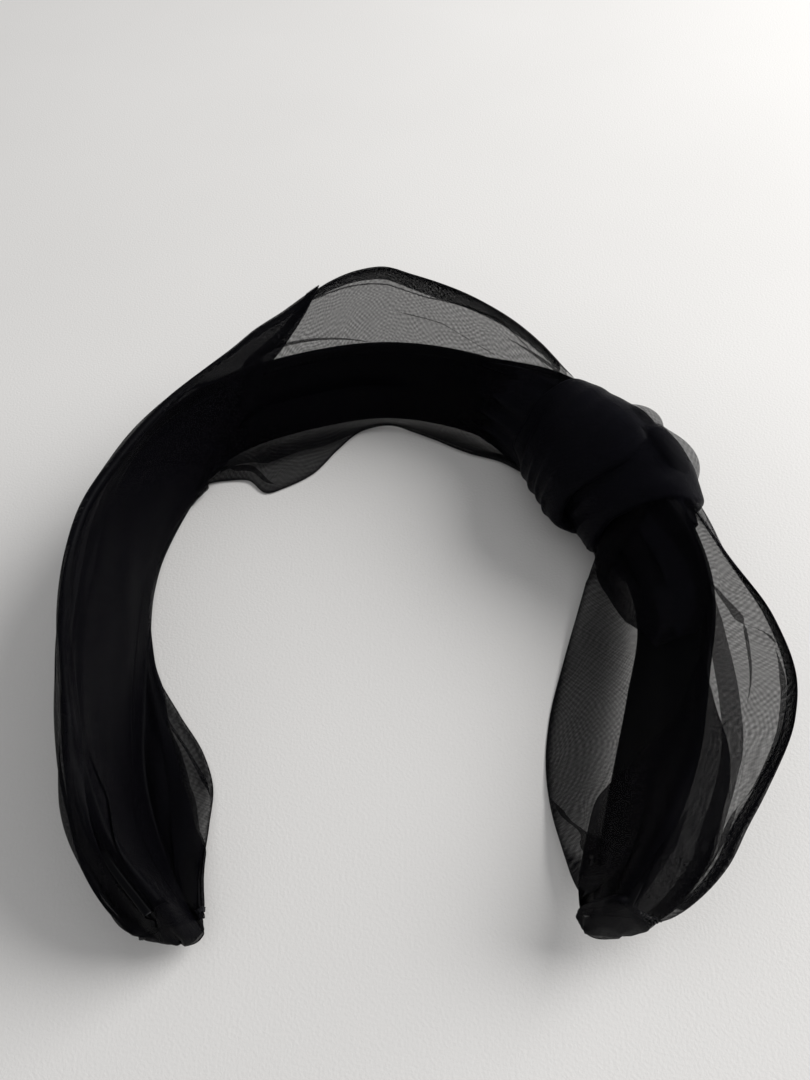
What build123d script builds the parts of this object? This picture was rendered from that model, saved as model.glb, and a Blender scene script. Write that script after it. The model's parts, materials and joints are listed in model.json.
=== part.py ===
from build123d import *
import os
from math import cos, radians, sin

# Knotted headband, lying on one edge with its opening towards -Y. Millimetres.
# The band is a C in plan: left tip, crown (+Y), knot, right tip. Its head-facing
# side is the inner side of the C. Plan sizes below are about the crown's hinge
# line; the finished set is centred on its own base at the end.

# ---- core: springy plastic strip, satin sleeve and lining -------------------
CORE_WIDTH = 25.0
CORE_SHOULDER_WIDTH = 22.0
CORE_TIP_WIDTH = 14.0
CORE_THICKNESS = 2.0
SLEEVE_GAP = 0.15
SLEEVE_WALL = 0.6
LINING_INSET = 4.0
LINING_THICKNESS = 0.5
LINING_GAP = 0.1
CAVITY_GAP = 0.3
JACKET_WALL = 0.9

# Lower edge of the core strip: x, y, height of the edge, outward lean in degrees.
CORE_STATIONS = [
    (-46.0, -89.0, 5.0, 8.0),
    (-54.0, -77.0, 4.0, 9.0),
    (-61.0, -61.0, 3.0, 10.0),
    (-66.0, -40.0, 3.0, 11.0),
    (-68.5, -16.0, 3.0, 12.0),
    (-68.5, 8.0, 3.0, 12.0),
    (-62.0, 29.0, 3.0, 13.0),
    (-46.0, 46.0, 3.0, 14.0),
    (-24.0, 54.5, 3.0, 15.0),
    (0.0, 57.5, 3.0, 15.0),
    (20.0, 52.5, 3.0, 17.0),
    (38.0, 40.5, 4.0, 20.0),
    (53.0, 23.0, 5.0, 24.0),
    (63.0, 1.0, 5.0, 28.0),
    (65.5, -20.0, 5.0, 31.0),
    (60.0, -40.0, 5.0, 33.0),
    (53.5, -60.0, 5.0, 33.0),
    (48.5, -76.0, 6.0, 28.0),
    (45.5, -89.0, 6.0, 20.0),
]
KNOT_FIRST = 11
KNOT_LAST = 13

# ---- organza: lower fold, upper fold and thickness of each cross-section ----
LONG_TUBE_STATIONS = [
    ((-43.5, -90.0, 4.0), (-50.0, -92.0, 18.0), 10.0),
    ((-41.0, -76.0, 4.0), (-60.0, -81.0, 25.0), 15.0),
    ((-42.0, -60.0, 1.0), (-66.5, -66.0, 32.0), 16.0),
    ((-54.0, -38.0, 0.0), (-70.5, -44.0, 35.0), 14.0),
    ((-64.0, -20.0, 0.0), (-74.5, -22.0, 36.0), 12.0),
    ((-67.5, 0.0, 0.0), (-76.0, -1.0, 36.0), 12.0),
    ((-64.0, 20.0, 0.0), (-73.0, 17.0, 36.0), 13.0),
    ((-52.0, 36.0, 0.0), (-59.0, 41.0, 37.0), 14.0),
    ((-36.0, 38.0, 0.0), (-40.0, 58.0, 38.0), 18.0),
    ((-20.0, 44.0, 0.0), (-22.0, 73.0, 40.0), 19.0),
    ((-6.0, 53.0, 0.0), (-8.0, 80.0, 42.0), 19.0),
    ((8.0, 53.0, 0.0), (9.0, 78.0, 43.0), 19.0),
    ((24.0, 45.0, 1.0), (26.0, 67.5, 43.0), 18.0),
    ((36.0, 36.0, 3.0), (44.0, 53.0, 38.5), 15.0),
]
SHORT_TUBE_STATIONS = [
    ((59.0, -3.0, 3.0), (79.0, -8.0, 33.0), 14.0),
    ((53.0, -12.0, 2.0), (83.0, -20.0, 35.0), 17.0),
    ((45.0, -27.0, 0.0), (88.0, -35.0, 36.0), 19.0),
    ((40.0, -42.0, 0.0), (89.0, -49.0, 36.0), 19.0),
    ((38.0, -56.0, 0.0), (86.0, -60.0, 34.0), 18.0),
    ((38.5, -70.0, 2.0), (78.0, -73.0, 28.0), 16.0),
    ((41.0, -82.0, 4.0), (66.0, -85.0, 22.0), 12.0),
    ((43.5, -90.5, 4.0), (53.0, -93.0, 19.0), 10.0),
]

# ---- extra organza wrap over the left arm -----------------------------------
WRAP_GAP = 0.3
WRAP_WALL = 0.5
WRAP_LOWER_CUT = 1.2
WRAP_HEM_FOOT = (-56.0, 36.0, 0.0)
WRAP_HEM_HEAD = (-19.0, 74.0, 40.0)

# ---- knot -------------------------------------------------------------------
PASS_HALF_HEIGHT = 17.0
PASS_HALF_THICKNESS = 6.5
KNOT_GAP = 0.3
MOUTH_STATIONS = 5
MOUTH_GAP = 0.6
# A loop's centre, the heading, dip and outward lean of its axis in degrees, and its
# rings. Each ring: distance along the axis, half height, half thickness.
UPPER_LOOP = {
    "centre": (55.8, 23.5, 19.5),
    "heading": -54.0,
    "dip": 2.0,
    "lean": 25.0,
    "rings": [(-17.0, 15.5, 8.5), (-8.0, 18.0, 11.5), (2.0, 19.5, 13.5), (10.0, 20.0, 13.5)],
}
LOWER_LOOP = {
    "centre": (65.5, 9.0, 19.5),
    "heading": -64.0,
    "dip": 20.0,
    "lean": 26.0,
    "rings": [(-10.0, 19.0, 12.5), (-2.0, 19.5, 13.0), (4.5, 18.5, 12.0)],
}

# ---- gathered tips: each ring is a share of the length, half height, half thickness
GATHER_LENGTH = 5.5
GATHER_RINGS = [(0.0, 7.6, 4.6), (0.25, 7.2, 4.3), (0.6, 7.6, 5.0), (0.85, 5.6, 4.0), (1.0, 3.2, 2.4)]
BINDING_THREAD = 0.5
BINDING_TURNS = 3
BINDING_PITCH = 0.6
BINDING_START = 0.3
BINDING_HALF_HEIGHT = 7.8
BINDING_HALF_THICKNESS = 4.8

# ---- crown hinge ------------------------------------------------------------
HINGE_X = 0.0
HINGE_Y = 60.7
OPENING_RELIEF_DEG = 13.0
CLOSING_RELIEF_DEG = 4.0
HALF_GAP = 0.2
REACH = 300.0


def tangent(points, index):
    """Direction of travel along a row of points at one of them."""
    before = points[max(index - 1, 0)]
    after = points[min(index + 1, len(points) - 1)]
    return (after - before).normalized()


def section_plane(lower, upper, along):
    """Plane across the band: X runs from lower to upper edge, Y towards the head."""
    chord = (upper - lower).normalized()
    normal = (along - chord * along.dot(chord)).normalized()
    return Plane(origin=(lower + upper) / 2, x_dir=chord, z_dir=normal)


def core_width(index):
    """The strip is narrower at both tips."""
    from_tip = min(index, len(CORE_STATIONS) - 1 - index)
    if from_tip == 0:
        return CORE_TIP_WIDTH
    if from_tip == 1:
        return CORE_SHOULDER_WIDTH
    return CORE_WIDTH


def core_planes():
    """One cross-section plane and width per station of the core."""
    feet = [Vector(x, y, z) for x, y, z, lean in CORE_STATIONS]
    planes = []
    for index, (x, y, z, lean) in enumerate(CORE_STATIONS):
        along = tangent(feet, index)
        outward = Vector(0, 0, 1).cross(along).normalized()
        rise = Vector(0, 0, cos(radians(lean))) + outward * sin(radians(lean))
        foot = feet[index]
        head = foot + rise * core_width(index)
        planes.append((section_plane(foot, head, along), core_width(index)))
    return planes


def core_loft(extra_width, thickness, shift=0.0, first=0, last=None):
    """Strip that follows the core, wider by extra_width and moved towards the head."""
    last = len(CORE_STATIONS) if last is None else last + 1
    sections = []
    for plane, width in core_planes()[first:last]:
        sections.append(plane * Pos(0, shift) * Rectangle(width + extra_width, thickness))
    return loft(sections)


def fold_planes(stations):
    """One cross-section plane, fold-to-fold width and thickness per organza station."""
    middles = [(Vector(*lower) + Vector(*upper)) / 2 for lower, upper, thickness in stations]
    planes = []
    for index, (lower, upper, thickness) in enumerate(stations):
        plane = section_plane(Vector(*lower), Vector(*upper), tangent(middles, index))
        width = (Vector(*upper) - Vector(*lower)).length
        planes.append((plane, width, thickness))
    return planes


def tube_loft(stations, grow=0.0):
    """Flattened organza tube through its stations, larger all round by grow."""
    sections = []
    for plane, width, thickness in fold_planes(stations):
        sections.append(plane * Ellipse(width / 2 + grow, thickness / 2 + grow))
    return loft(sections)


def half_space(side):
    """Everything on one side of the hinge: -1 left, +1 right, with relief to turn."""
    pivot_x = HINGE_X + side * HALF_GAP
    opening = radians(OPENING_RELIEF_DEG)
    closing = radians(CLOSING_RELIEF_DEG)
    corners = [
        (pivot_x, HINGE_Y),
        (pivot_x + side * REACH * sin(opening), HINGE_Y + REACH * cos(opening)),
        (pivot_x + side * REACH, HINGE_Y + REACH * cos(opening)),
        (pivot_x + side * REACH, HINGE_Y - REACH * cos(closing)),
        (pivot_x + side * REACH * sin(closing), HINGE_Y - REACH * cos(closing)),
    ]
    outline = make_face(Polyline(*corners, close=True))
    return Pos(0, 0, -REACH / 2) * extrude(outline, REACH, dir=(0, 0, 1))


def loop_plane(loop, distance):
    """Plane across a knot loop, a distance along the loop's axis from its centre."""
    heading, dip, lean = (radians(loop[key]) for key in ("heading", "dip", "lean"))
    level = Vector(cos(heading), sin(heading), 0)
    along = level * cos(dip) - Vector(0, 0, sin(dip))
    outward = Vector(0, 0, 1).cross(level)
    rise = along.cross(outward) * cos(lean) + outward * sin(lean)
    return Plane(origin=Vector(*loop["centre"]) + along * distance, x_dir=rise, z_dir=along)


def ring_solid(loop):
    """Fat loop lofted through ellipses along its axis."""
    sections = []
    for distance, half_height, half_thickness in loop["rings"]:
        sections.append(loop_plane(loop, distance) * Ellipse(half_height, half_thickness))
    return loft(sections)


def pass_loft(grow=0.0, spare=0):
    """Organza squeezed round the core in the knot, spare stations longer at each end."""
    sections = []
    for plane, width in core_planes()[KNOT_FIRST - spare:KNOT_LAST + 1 + spare]:
        sections.append(plane * Ellipse(PASS_HALF_HEIGHT + grow, PASS_HALF_THICKNESS + grow))
    return loft(sections)


def beyond(plane, away):
    """Large block on one side of a plane: away is -1 or +1 along its normal."""
    return plane * Pos(0, 0, away * REACH / 2) * Box(REACH, REACH, REACH)


def above(height):
    """Everything higher than a level."""
    return Pos(0, 0, height + REACH / 2) * Box(REACH, REACH, REACH)


def hem_plane():
    """Plane of the wrap's diagonal hem; its normal points to the covered side."""
    foot, head = Vector(*WRAP_HEM_FOOT), Vector(*WRAP_HEM_HEAD)
    along = (head - foot).normalized()
    outward = Vector(-along.Y, along.X, 0).normalized()
    return Plane(origin=foot, x_dir=along, z_dir=along.cross(outward))


def tip_gather(plane, away):
    """Puckered end of the organza, turned in over the tip of the core."""
    sections = []
    for share, half_height, half_thickness in GATHER_RINGS:
        place = plane * Pos(0, 0, away * (HALF_GAP + share * GATHER_LENGTH))
        sections.append(place * Ellipse(half_height, half_thickness))
    return loft(sections)


def tip_binding(plane, away):
    """Turns of thread drawn tight round the neck of the gather."""
    turns = []
    outer = Ellipse(BINDING_HALF_HEIGHT + BINDING_THREAD, BINDING_HALF_THICKNESS + BINDING_THREAD)
    ring = extrude(outer - Ellipse(BINDING_HALF_HEIGHT, BINDING_HALF_THICKNESS), BINDING_THREAD)
    for turn in range(BINDING_TURNS):
        distance = HALF_GAP + BINDING_START + turn * BINDING_PITCH
        turns.append(plane * Pos(0, 0, away * (distance + BINDING_THREAD / 2) - BINDING_THREAD / 2) * ring)
    return Compound(children=turns)


def centred(nodes):
    """Move the set so that its box stands on Z = 0, centred on the origin in plan."""
    solids = [solid for shape in nodes.values() for solid in shape.solids()]
    box = Compound(solids).bounding_box()
    middle = (box.min + box.max) / 2
    print("crown hinge at X, Y:", round(HINGE_X - middle.X, 3), round(HINGE_Y - middle.Y, 3))
    print("raised by:", round(-box.min.Z, 3), "overall:", box.size)
    move = Pos(-middle.X, -middle.Y, -box.min.Z)
    return {name: move * shape for name, shape in nodes.items()}


def build_core(left, right):
    """Strip, sleeve and lining, each cut at the hinge, and the room they need."""
    sleeve_extra = 2 * (SLEEVE_GAP + SLEEVE_WALL)
    sleeve_thickness = CORE_THICKNESS + sleeve_extra
    strip = core_loft(0.0, CORE_THICKNESS)
    bore = core_loft(2 * SLEEVE_GAP, CORE_THICKNESS + 2 * SLEEVE_GAP)
    sleeve = core_loft(sleeve_extra, sleeve_thickness) - bore
    lining_shift = sleeve_thickness / 2 + LINING_GAP + LINING_THICKNESS / 2
    lining = core_loft(-LINING_INSET, LINING_THICKNESS, lining_shift)
    nodes = {}
    for name, shape in (("core_strip", strip), ("core_sleeve", sleeve), ("lining", lining)):
        nodes[name + "_left"] = shape & left
        nodes[name + "_right"] = shape & right
    room = {
        "extra": sleeve_extra + 2 * CAVITY_GAP,
        "thickness": sleeve_thickness + LINING_GAP + LINING_THICKNESS + 2 * CAVITY_GAP,
        "shift": (LINING_GAP + LINING_THICKNESS) / 2,
    }
    return nodes, room


def build_wrap(wide, deep, shift):
    """Extra organza folded over the left arm, open below, ending in a diagonal hem."""
    inner_grow, outer_grow = WRAP_GAP, WRAP_GAP + WRAP_WALL
    last = KNOT_FIRST - 1
    skins = []
    for grow in (inner_grow, outer_grow):
        jacket = core_loft(wide + 2 * grow, deep + 2 * grow, shift, 0, last)
        skins.append(tube_loft(LONG_TUBE_STATIONS[:last + 2], grow) + jacket)
    wrap = (skins[1] - skins[0]) & beyond(hem_plane(), 1) & above(WRAP_LOWER_CUT)
    return wrap


def build_knot(cavity, wide, deep, shift):
    """The squeezed organza inside the knot and the two loops tied over it."""
    upper = ring_solid(UPPER_LOOP)
    lower = ring_solid(LOWER_LOOP)
    taken = pass_loft(KNOT_GAP, 1)
    tube_mouth = tube_loft(SHORT_TUBE_STATIONS[:MOUTH_STATIONS], MOUTH_GAP)
    grown_wide, grown_deep = wide + 2 * MOUTH_GAP, deep + 2 * MOUTH_GAP
    jacket_mouth = core_loft(grown_wide, grown_deep, shift, KNOT_LAST)
    upper_end = loop_plane(UPPER_LOOP, UPPER_LOOP["rings"][-1][0] + KNOT_GAP)
    return {
        "knot_pass": pass_loft() - cavity,
        "knot_upper_loop": upper - taken,
        "knot_lower_loop": (lower & beyond(upper_end, 1)) - taken - tube_mouth - jacket_mouth,
    }


def build():
    """Every node by name, in plan coordinates about the hinge."""
    left, right = half_space(-1), half_space(1)
    nodes, room = build_core(left, right)
    extra, thickness, shift = room["extra"], room["thickness"], room["shift"]
    cavity = core_loft(extra, thickness, shift)
    wide, deep = extra + 2 * JACKET_WALL, thickness + 2 * JACKET_WALL

    long_jacket = core_loft(wide, deep, shift, 0, KNOT_FIRST)
    long_tube = tube_loft(LONG_TUBE_STATIONS) + long_jacket - cavity
    short_jacket = core_loft(wide, deep, shift, KNOT_LAST)
    short_tube = tube_loft(SHORT_TUBE_STATIONS) + short_jacket - cavity
    before_knot = beyond(core_planes()[KNOT_FIRST][0], -1)
    nodes["organza_tube_left"] = long_tube & left
    nodes["organza_tube_crown"] = long_tube & right & before_knot
    nodes["organza_tube_right"] = short_tube
    nodes["organza_wrap_left"] = build_wrap(wide, deep, shift)
    nodes.update(build_knot(cavity, wide, deep, shift))
    for name, stations, index, away in (
        ("left", LONG_TUBE_STATIONS, 0, -1),
        ("right", SHORT_TUBE_STATIONS, -1, 1),
    ):
        plane = fold_planes(stations)[index][0]
        nodes["tip_gather_" + name] = tip_gather(plane, away)
        nodes["tip_binding_" + name] = tip_binding(plane, away)
    return nodes


if __name__ == "__main__":
    os.makedirs("parts", exist_ok=True)
    for name, shape in centred(build()).items():
        export_step(shape, "parts/" + name + ".step")
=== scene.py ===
import json
import math

import bpy
import numpy as np
from mathutils import Matrix, Vector


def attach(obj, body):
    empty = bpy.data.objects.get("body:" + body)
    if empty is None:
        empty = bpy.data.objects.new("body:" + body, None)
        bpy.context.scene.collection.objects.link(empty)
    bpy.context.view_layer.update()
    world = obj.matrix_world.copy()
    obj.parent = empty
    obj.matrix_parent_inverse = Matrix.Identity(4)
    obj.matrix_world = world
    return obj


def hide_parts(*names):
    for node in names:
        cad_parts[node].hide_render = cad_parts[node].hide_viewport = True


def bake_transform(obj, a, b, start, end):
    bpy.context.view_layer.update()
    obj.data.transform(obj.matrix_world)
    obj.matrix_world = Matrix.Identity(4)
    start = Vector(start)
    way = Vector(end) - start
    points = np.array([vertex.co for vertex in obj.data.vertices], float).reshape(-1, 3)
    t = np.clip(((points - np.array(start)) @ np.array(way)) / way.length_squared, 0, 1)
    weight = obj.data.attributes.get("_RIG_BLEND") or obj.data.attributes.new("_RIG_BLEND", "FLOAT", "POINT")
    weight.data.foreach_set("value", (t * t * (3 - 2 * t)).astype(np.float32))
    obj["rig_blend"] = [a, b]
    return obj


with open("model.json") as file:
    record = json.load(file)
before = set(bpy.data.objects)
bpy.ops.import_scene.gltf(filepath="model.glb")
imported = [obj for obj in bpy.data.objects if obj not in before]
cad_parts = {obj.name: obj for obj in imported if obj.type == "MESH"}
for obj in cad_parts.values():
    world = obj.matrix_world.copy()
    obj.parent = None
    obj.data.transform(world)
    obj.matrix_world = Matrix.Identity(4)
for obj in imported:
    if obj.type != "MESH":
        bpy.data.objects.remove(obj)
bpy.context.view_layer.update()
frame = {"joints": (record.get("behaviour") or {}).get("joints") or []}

# ------------------------------------------------------------------ the frame
# Curves below are in millimetres, in a plan where the crown hinge lies at
# PLAN_HINGE and the table at height 0. to_frame() takes them to the part's frame.
PLAN_HINGE = (0.0, 60.7)
HINGE = next(j for j in frame["joints"] if j["name"] == "crown_flex")["pos_m"]
SHIFT = np.array([HINGE[0] * 1000 - PLAN_HINGE[0], HINGE[1] * 1000 - PLAN_HINGE[1], 0.0])
LEFT, RIGHT = "left_arm", "right_arm"
BLEND_START = (HINGE[0] - 0.040, HINGE[1], 0.0)
BLEND_END = (HINGE[0] + 0.034, HINGE[1], 0.0)
TABLE_GAP = 0.3

# ------------------------------------------------------------- driving shapes
# Lower edge of the plastic core: x, y, height, outward lean in degrees, width.
CORE = np.array([
    (-46, -89, 4.5, 8, 14),
    (-54, -77, 3.5, 9, 22),
    (-61, -61, 3, 10, 25),
    (-66, -40, 3, 11, 25),
    (-68.5, -16, 3, 12, 25),
    (-68.5, 8, 3, 12, 25),
    (-62, 29, 3, 13, 25),
    (-46, 46, 3, 14, 25),
    (-24, 54.5, 3, 15, 25),
    (0, 57.5, 3, 15, 25),
    (20, 52.5, 3, 17, 25),
    (38, 40.5, 4, 20, 25),
    (53, 23, 5, 24, 25),
    (63, 1, 5, 28, 25),
    (65.5, -20, 5, 31, 25),
    (60, -40, 5, 33, 25),
    (53.5, -60, 5, 33, 25),
    (48.5, -76, 6, 28, 22),
    (45.5, -89, 6, 20, 14),
])
CORE_THICKNESS = 2.0
SLEEVE_WALL = 0.35
SLEEVE_EASE = 0.4  # the sleeve's spare width beyond the strip and its own two walls
LINING_WIDTH = 0.86  # share of the core's width

# Lower and upper fold of the long tube, from the left tip to the knot.
LONG_FOLDS = np.array([
    (-39, -88.5, 5.5, -46, -94, 7.5),
    (-40.5, -80, 5, -57.5, -84.5, 18),
    (-41, -67.5, 2.5, -65, -70.5, 29),
    (-41.5, -58, 1, -66, -62, 32),
    (-45, -49.5, 0, -67, -52.5, 34.5),
    (-52.5, -39, 0, -69.5, -42.5, 35.5),
    (-61, -26.5, 0, -72.5, -30.5, 36),
    (-67.5, -6.5, 0, -75, -10, 36),
    (-67.5, 4, 0, -74, 1, 36),
    (-63.5, 20.5, 0, -66, 21.5, 36),
    (-56, 35, 0.5, -55, 39, 36.5),
    (-49, 36, 0.5, -47.5, 47.5, 37),
    (-43, 35.5, 0.5, -41, 54.5, 37.5),
    (-37, 30.5, 0, -34.5, 61.5, 38.5),
    (-31, 32.5, 0, -28, 67, 39),
    (-23.5, 37, 0, -21, 73, 40),
    (-16, 46.5, 0, -14, 78, 41),
    (-8.5, 54, 0.5, -6.5, 81.5, 41.5),
    (0, 55.5, 1, 1, 81.5, 42.5),
    (8, 51.5, 1, 10, 76.5, 43),
    (25, 42, 1, 29, 64.5, 42),
    (34, 38.5, 1, 37, 58.5, 40),
    (40.5, 32.5, 2.5, 44, 51, 38),
    (46, 27, 5, 50.5, 42, 35.5),
])

# Lower and upper fold of the short tube, from the knot to the right tip.
SHORT_FOLDS = np.array([
    (58.5, 6, 8.5, 74.5, 6, 33),
    (55, -1, 5, 79, -6, 33),
    (51.5, -9.5, 3.5, 82, -17, 34),
    (45, -27, 1, 88, -35, 36),
    (39.5, -44, 0, 89, -50.5, 36),
    (38, -52, 0, 87, -58, 35),
    (38, -68, 2, 80, -70.5, 29),
    (39, -74.5, 3.5, 75.5, -77, 24.5),
    (40, -80.5, 5, 71.5, -83.5, 20),
    (41, -86.5, 6, 64, -90, 14),
    (41.5, -91, 6, 54, -94, 9.5),
])


# ----------------------------------------------------------------- small maths
def spline(points, at):
    """Smooth curve through unevenly spaced rows of points, at fractional row numbers."""
    points = np.asarray(points, float)
    steps = np.diff(points, axis=0)
    gap = np.linalg.norm(steps, axis=1)[:, None]
    slope = steps / gap
    inner = (slope[:-1] * gap[1:] + slope[1:] * gap[:-1]) / (gap[:-1] + gap[1:])
    heading = np.concatenate([slope[:1], inner, slope[-1:]])
    at = np.clip(np.atleast_1d(np.asarray(at, float)), 0, len(steps) - 1e-9)
    row = np.floor(at).astype(int)
    f = (at - row)[:, None]
    leave, arrive = heading[row] * gap[row], heading[row + 1] * gap[row]
    f2, f3 = f * f, f * f * f
    ends = (2 * f3 - 3 * f2 + 1) * points[row] + (3 * f2 - 2 * f3) * points[row + 1]
    return ends + (f3 - 2 * f2 + f) * leave + (f3 - f2) * arrive


def unit(v):
    """Rows of v at length one."""
    return v / np.maximum(np.linalg.norm(v, axis=-1, keepdims=True), 1e-9)


def eased(values, passes=2):
    """Rows averaged with their neighbours, ends kept."""
    values = values.copy()
    for _ in range(passes):
        values[1:-1] = (values[:-2] + 2 * values[1:-1] + values[2:]) / 4
    return values


def eased_round(values, passes):
    """A closed ring of values or points averaged with their neighbours round it."""
    for _ in range(passes):
        values = (np.roll(values, 1, axis=0) + 2 * values + np.roll(values, -1, axis=0)) / 4
    return values


def travelled(points):
    """Distance from the first point to each, along the line through them."""
    return np.concatenate([[0], np.cumsum(np.linalg.norm(np.diff(points, axis=0), axis=1))])


def read_line(at, places, points):
    """Points of a line at some places, straight between its own."""
    return np.stack([np.interp(at, places, column) for column in points.T], axis=1)


def ramp(x, low, high):
    """0 below low, 1 above high, smooth between."""
    t = np.clip((np.asarray(x, float) - low) / (high - low), 0, 1)
    return t * t * (3 - 2 * t)


def window(x, low, high, soft):
    """1 between low and high, fading to 0 over soft on each side."""
    return ramp(x, low - soft, low) * (1 - ramp(x, high, high + soft))


def waves(x, y, long, short, seed, count=16):
    """Smooth noise with crests drawn out along x, of about unit size."""
    rng = np.random.default_rng(seed)
    total = np.zeros(np.broadcast(x, y).shape)
    for _ in range(count):
        kx = rng.uniform(-1, 1) * 2 * math.pi / long
        ky = rng.uniform(0.35, 1) * 2 * math.pi / short
        total += np.sin(kx * x + ky * y + rng.uniform(0, 2 * math.pi))
    return total / math.sqrt(count / 2)


def to_frame(points):
    """Plan millimetres to metres in the part's frame."""
    return (np.asarray(points, float) + SHIFT) / 1000


# ------------------------------------------------------------------- the core
def core_frames(at):
    """Lower edge, upper edge, outward normal and direction of the core at stations."""
    at = np.atleast_1d(np.asarray(at, float))
    rows = spline(CORE, at)
    step = spline(CORE, at + 0.05)[:, :2] - spline(CORE, at - 0.05)[:, :2]
    along = unit(np.column_stack([step, np.zeros(len(step))]))
    flat_out = np.column_stack([-along[:, 1], along[:, 0], np.zeros(len(along))])
    lean = np.radians(rows[:, 3:4])
    rise = np.array([0, 0, 1.0]) * np.cos(lean) + flat_out * np.sin(lean)
    outward = flat_out * np.cos(lean) - np.array([0, 0, 1.0]) * np.sin(lean)
    foot = rows[:, :3]
    return foot, foot + rise * rows[:, 4:5], outward, along


def nearest_core(middles):
    """Core station nearest to each point in plan, eased along the row."""
    at = np.linspace(0, len(CORE) - 1, 900)
    foot, head, _, _ = core_frames(at)
    centre = (foot + head)[:, :2] / 2
    gap = np.linalg.norm(middles[:, None, :2] - centre[None], axis=2)
    return eased(at[np.argmin(gap, axis=1)][:, None], 8)[:, 0]


# ------------------------------------------------------------------- the tubes
# A tube's section is a loop of six zones, numbered by the girth coordinate q:
# 0-1 lower fold to core foot, 1-2 up the core's inner face, 2-3 core head to
# upper fold, 3-4 upper fold down to the core head behind, 4-5 down the core's
# outer face, 5-6 core foot back to the lower fold.
ZONES = 6
FRONT_GAP = 2.7  # mm from the core's middle plane to the cloth
BACK_GAP = 2.2
CORNER_GAP = 0.9
SAMPLES_PER_ZONE = 48
FINE_PER_ZONE = 60
EVEN_POINTS = 480  # evenly spaced points that a section is rounded on


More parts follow.
